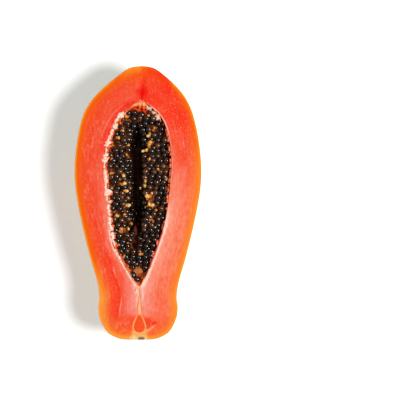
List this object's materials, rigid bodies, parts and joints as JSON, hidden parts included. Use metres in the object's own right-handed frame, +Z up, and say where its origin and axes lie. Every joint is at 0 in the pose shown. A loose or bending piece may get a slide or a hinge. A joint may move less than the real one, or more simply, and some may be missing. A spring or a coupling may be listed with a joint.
{
  "type": "papaya half",
  "caption": "Half of a ripe papaya, cut lengthwise and lying on its back, with orange-red flesh and a long cavity of glossy black seeds.",
  "frame": {"origin": "middle of the footprint, on the surface that the half lies on", "axes": "+Y along the fruit towards its blossom end, +Z up out of the cut face"},
  "size_m": [0.111, 0.24, 0.0498],
  "materials": {
    "flesh": "moist cut fruit flesh, satin",
    "seeds": "wet, glossy seed coats"
  },
  "bodies": {
    "root": {"fruit_half": "flesh", "seeds": "seeds"}
  },
  "joints": []
}
